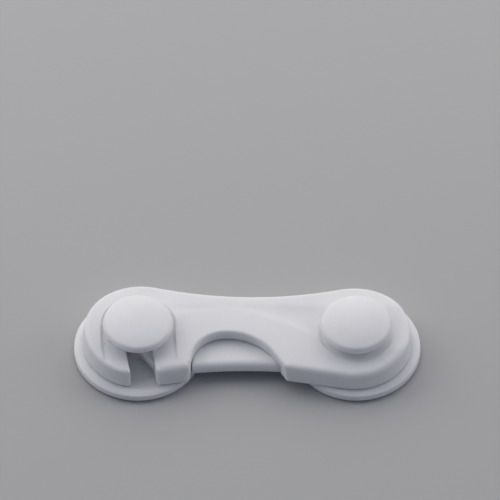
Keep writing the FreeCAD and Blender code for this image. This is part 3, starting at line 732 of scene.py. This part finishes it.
def cap(name, x, dome, shoulder, under, hub_radius, hub_under):
    """Mushroom cap: a dome out to the shoulder, a rounded side, a flat underside and a hub."""
    widest, lip = 10.35, 10.0
    rise = CAP_APEX - dome
    edge_turn = math.degrees(math.asin(shoulder / dome))
    shoulder_top = rise + dome * math.cos(math.radians(edge_turn))
    belly = under + 1.1
    profile = path([
        stretch(arc(0, rise, dome, 90, 90 - edge_turn, 0.7)),
        stretch(line((shoulder, shoulder_top), (widest, belly), 0.4)),
        stretch(line((widest, belly), (lip, under), 0.4)),
        stretch([(lip, under), (hub_radius, under)]),
        stretch([(hub_radius, under), (hub_radius, hub_under)]),
        stretch([(hub_radius, hub_under), (SCREW_BORE, hub_under)]),
        stretch([(SCREW_BORE, hub_under), (SCREW_BORE, SCREW_BORE_TOP)]),
        stretch([(SCREW_BORE, SCREW_BORE_TOP), (0, SCREW_BORE_TOP)]),
    ], [1.3, 0.9, 0.35, 0.15, 0.1, 0, 0], closed=False)
    return lathe(name, profile, x, PIVOT_Y)


def base(name, x, stem_rows):
    """Round disc with a dished top. stem_rows go from the dish to the top of the stud."""
    disc, top, floor, bowl = DISC_RADIUS, DISC_TOP, DISH_FLOOR, 190.0
    side_top, cone_top = (disc - 0.15, top - 0.35), (disc - 1.4, top)
    rim_flat = math.sqrt(bowl**2 - (bowl - top + floor) ** 2)
    root = stem_rows[0][0]
    stud_top = stem_rows[-1][1]
    dish = [(r, floor + bowl - math.sqrt(bowl**2 - r * r)) for r in np.linspace(rim_flat, root, 30)]
    profile = path([
        stretch([(HEAD_BORE, BASE_LOW), (disc, BASE_LOW)]),
        stretch(line((disc, BASE_LOW), side_top, 0.5)),
        stretch(line(side_top, cone_top, 0.5)),
        stretch([cone_top, (rim_flat, top)]),
        stretch(dish),
        stretch([dish[-1], stem_rows[0]]),
        *[stretch([a, b]) for a, b in zip(stem_rows, stem_rows[1:])],
        stretch([stem_rows[-1], (SHANK_BORE, stud_top)]),
        stretch([(SHANK_BORE, stud_top), (SHANK_BORE, HEAD_BORE_TOP)]),
        stretch([(SHANK_BORE, HEAD_BORE_TOP), (HEAD_BORE, HEAD_BORE_TOP)]),
        stretch([(HEAD_BORE, HEAD_BORE_TOP), (HEAD_BORE, BASE_LOW)]),
    ], [0.25, 0.4, 0.8, 1.5, 0, 0] + [0.2] * (len(stem_rows) - 1) + [0, 0, 0, 0])
    return lathe(name, profile, x, PIVOT_Y, closed=True)


def foam_pad(name, x):
    """Foam disc whose side bulges a little at half height."""
    radius, corner = 17.38, 0.12
    profile = path([
        stretch([(0, 0), (radius, 0)]),
        stretch(line((radius, 0), (radius, BASE_LOW), 0.2)),
        stretch([(radius, BASE_LOW), (0, BASE_LOW)]),
    ], [corner, corner], closed=False)
    bulge = np.sin(np.clip(profile[:, 1] / BASE_LOW, 0, 1) * math.pi) * 0.1
    profile[:, 0] += np.where(profile[:, 0] > 1, bulge, 0)
    return lathe(name, profile, x, PIVOT_Y)


# ---- materials --------------------------------------------------------------------------------

class Paint:
    """A node material that starts from a Principled shader and object coordinates."""

    def __init__(self, name, **sockets):
        self.material = bpy.data.materials.new(name)
        self.material.use_nodes = True
        self.tree = self.material.node_tree
        self.shader = self.tree.nodes["Principled BSDF"]
        for socket, value in sockets.items():
            self.shader.inputs[socket.replace("_", " ")].default_value = value
        self.place = self.tree.nodes.new("ShaderNodeTexCoord").outputs["Object"]

    def add(self, kind, **inputs):
        node = self.tree.nodes.new(kind)
        for socket, value in inputs.items():
            target = node.inputs[socket.replace("_", " ")]
            if isinstance(value, bpy.types.NodeSocket):
                self.tree.links.new(value, target)
            else:
                target.default_value = value
        return node

    def noise(self, scale, detail=2.0, rough=0.5):
        return self.add("ShaderNodeTexNoise", Vector=self.place, Scale=scale, Detail=detail, Roughness=rough)

    def ramp(self, factor, stops):
        node = self.add("ShaderNodeValToRGB", Fac=factor)
        elements = node.color_ramp.elements
        while len(elements) < len(stops):
            elements.new(0.5)
        for element, (place, colour) in zip(elements, stops):
            element.position = place
            element.color = (*colour, 1)
        return node.outputs["Color"]

    def spread(self, factor, low, high):
        node = self.add("ShaderNodeMapRange", Value=factor)
        node.inputs["To Min"].default_value = low
        node.inputs["To Max"].default_value = high
        return node.outputs["Result"]

    def bump(self, height, distance, under=None):
        inputs = {"Height": height, "Distance": distance, "Strength": 1.0}
        if under is not None:
            inputs["Normal"] = under
        return self.add("ShaderNodeBump", **inputs).outputs["Normal"]

    def wire(self, socket, output):
        self.tree.links.new(output, self.shader.inputs[socket])


def plastic(name, colour, rough, grain=2600.0, depth=0.000012):
    """Moulded plastic: faint flow clouds, fine spark-eroded grain and slightly uneven gloss."""
    paint = Paint(name, IOR=1.46, Specular_IOR_Level=0.22, Subsurface_Weight=0.6,
                  Subsurface_Radius=(1.0, 1.0, 0.9), Subsurface_Scale=0.0016)
    clouds = paint.noise(70.0, 3.0).outputs["Fac"]
    specks = paint.noise(900.0, 2.0).outputs["Fac"]
    low = [c * 0.965 for c in colour]
    high = [min(c * 1.02, 1) for c in colour]
    both = paint.add("ShaderNodeMath")
    both.operation = "ADD"
    paint.tree.links.new(clouds, both.inputs[0])
    paint.tree.links.new(paint.spread(specks, -0.12, 0.12), both.inputs[1])
    paint.wire("Base Color", paint.ramp(both.outputs[0], [(0.3, low), (0.7, high)]))
    paint.wire("Roughness", paint.spread(both.outputs[0], rough - 0.05, rough + 0.05))
    fine = paint.bump(paint.noise(grain, 3.0, 0.6).outputs["Fac"], depth)
    paint.wire("Normal", paint.bump(clouds, 0.00004, fine))
    return paint.material


def foam(name, colour):
    """Closed-cell foam tape: packed bubbles, with painted shade darkening the pits."""
    paint = Paint(name, Roughness=0.85)
    cells = paint.add("ShaderNodeTexVoronoi", Vector=paint.place, Scale=3200.0).outputs["Distance"]
    clouds = paint.noise(180.0, 3.0).outputs["Fac"]
    # Painted shade: the colour darkens towards each cell's centre, where the bump below sinks into a pit.
    dark = [c * 0.8 for c in colour]
    paint.wire("Base Color", paint.ramp(cells, [(0.15, dark), (0.6, colour)]))
    lumps = paint.bump(clouds, 0.0001)
    paint.wire("Normal", paint.bump(cells, 0.00008, lumps))
    return paint.material


def metal(name, colour, rough, stretch_way):
    """Plated or drawn steel with fine lines in one direction."""
    paint = Paint(name, Metallic=1.0)
    mapping = paint.add("ShaderNodeMapping", Vector=paint.place)
    mapping.inputs["Scale"].default_value = stretch_way
    lines = paint.add("ShaderNodeTexNoise", Vector=mapping.outputs["Vector"], Scale=1500.0, Detail=3.0)
    clouds = paint.noise(400.0, 2.0).outputs["Fac"]
    dark = [c * 0.85 for c in colour]
    paint.wire("Base Color", paint.ramp(clouds, [(0.35, dark), (0.65, colour)]))
    paint.wire("Roughness", paint.spread(lines.outputs["Fac"], rough - 0.08, rough + 0.12))
    paint.wire("Normal", paint.bump(lines.outputs["Fac"], 0.00001))
    return paint.material


def floor_paint():
    """Pale paper with very faint clouds."""
    shade = (0.47, 0.47, 0.465)
    paint = Paint("floor_paper", Roughness=0.7)
    clouds = paint.noise(3.0, 4.0).outputs["Fac"]
    paint.wire("Base Color", paint.ramp(clouds, [(0.3, shade), (0.7, [c * 1.02 for c in shade])]))
    return paint.material


WHITE = (0.88, 0.88, 0.88)

paints = {
    "housing_plastic": plastic("housing_plastic", WHITE, 0.5),
    "cover_plastic": plastic("cover_plastic", (0.79, 0.79, 0.79), 0.55, 1800.0, 0.00003),
    "button_plastic": plastic("button_plastic", WHITE, 0.5),
    "bolt_plastic": plastic("bolt_plastic", (0.8, 0.8, 0.79), 0.3, 3200.0, 0.000006),
    "base_plastic": plastic("base_plastic", WHITE, 0.5),
    "cap_plastic": plastic("cap_plastic", WHITE, 0.5),
    "adhesive_foam": foam("adhesive_foam", (0.74, 0.74, 0.72)),
    "zinc_steel": metal("zinc_steel", (0.66, 0.68, 0.71), 0.3, (1, 1, 0.1)),
    "spring_steel": metal("spring_steel", (0.55, 0.56, 0.58), 0.28, (0.15, 1, 1)),
}


def wear(piece, slot):
    piece.data.materials.clear()
    piece.data.materials.append(paints[slot])


def stand_for(piece, body, slot, node):
    wear(piece, slot)
    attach(piece, body)
    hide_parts(node)
    return piece


# ---- the pieces -------------------------------------------------------------------------------

stand_for(upper_shell(), "hook_arm", "housing_plastic", "arm_upper_shell")
stand_for(release_button(), "button", "button_plastic", "release_button")
stand_for(latch_bolt(), "bolt", "bolt_plastic", "latch_bolt")
spring = stand_for(bolt_spring(), "hook_arm", "spring_steel", "bolt_spring")
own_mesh(spring)

pivot_cap = cap("pivot_cap_moulded", PIVOT_X, dome=27.0, shoulder=10.1, under=11.3,
                hub_radius=8.0, hub_under=POST_TOP)
catch_cap = cap("catch_cap_moulded", CATCH_X, dome=31.0, shoulder=9.8, under=11.8,
                hub_radius=4.6, hub_under=STEM_TOP)
stand_for(pivot_cap, "mounted_studs", "cap_plastic", "pivot_cap")
stand_for(catch_cap, "mounted_studs", "cap_plastic", "catch_cap")
pivot_rows = [(9.0, 2.6), (9.0, 3.0), (5.0, 3.0), (5.0, POST_TOP)]
catch_rows = [(4.1, 2.05), (3.3, 2.85), (3.3, STEM_TOP)]
stand_for(base("pivot_base_moulded", PIVOT_X, pivot_rows), "mounted_studs", "base_plastic", "pivot_base")
stand_for(base("catch_base_moulded", CATCH_X, catch_rows), "mounted_studs", "base_plastic", "catch_base")
for side, x in (("pivot", PIVOT_X), ("catch", CATCH_X)):
    pad = foam_pad(f"{side}_foam_pad", x)
    stand_for(pad, "mounted_studs", "adhesive_foam", f"{side}_adhesive_pad")

for node, slot in (("arm_lower_cover", "cover_plastic"), ("cover_screws", "zinc_steel"),
                   ("pivot_screw", "zinc_steel"), ("catch_screw", "zinc_steel")):
    wear(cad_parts[node], slot)


# ---- floor, light and camera ------------------------------------------------------------------

floor_mesh = bpy.data.meshes.new("floor")
reach = 12.0
floor_corners = [(-reach, -reach, 0), (reach, -reach, 0), (reach, reach, 0), (-reach, reach, 0)]
floor_mesh.from_pydata(floor_corners, [], [(0, 1, 2, 3)])
floor = bpy.data.objects.new("floor", floor_mesh)
floor.location.z = -0.00005
floor_mesh.materials.append(floor_paint())
bpy.context.scene.collection.objects.link(floor)


def area_light(name, place, size, power, colour):
    """A soft rectangular light that faces the origin."""
    data = bpy.data.lights.new(name, "AREA")
    data.shape = "RECTANGLE"
    data.size, data.size_y = size
    data.energy = power
    data.color = colour
    light = bpy.data.objects.new(name, data)
    light.location = place
    light.rotation_euler = (-Vector(place)).to_track_quat("-Z", "Y").to_euler()
    bpy.context.scene.collection.objects.link(light)


area_light("key", (-0.10, 0.46, 0.50), (1.4, 0.8), 4.35, (1.0, 0.965, 0.92))
for side in (-1, 1):
    area_light(f"side_{side}", (0.8 * side, 0.25, 0.45), (0.6, 0.6), 1.7, (1.0, 0.98, 0.96))

world = bpy.data.worlds.new("studio")
world.use_nodes = True
sky = world.node_tree.nodes["Background"]
sky.inputs["Color"].default_value = (0.71, 0.775, 1.0, 1)
sky.inputs["Strength"].default_value = 0.24
bpy.context.scene.world = world
bpy.context.scene.view_settings.view_transform = "Standard"

ELEVATION = math.radians(51.8)
DISTANCE = 2.6
target = Vector((0.0008, 0.0369, 0.001))
camera_data = bpy.data.cameras.new("camera")
camera_data.sensor_width = 36.0
camera_data.lens = 631.0
camera_data.clip_start, camera_data.clip_end = 0.05, 50.0
camera = bpy.data.objects.new("camera", camera_data)
camera.location = target + Vector((0, -math.cos(ELEVATION), math.sin(ELEVATION))) * DISTANCE
camera.rotation_euler = (math.pi / 2 - ELEVATION, 0, 0)
bpy.context.scene.collection.objects.link(camera)
bpy.context.scene.camera = camera

bpy.context.view_layer.update()
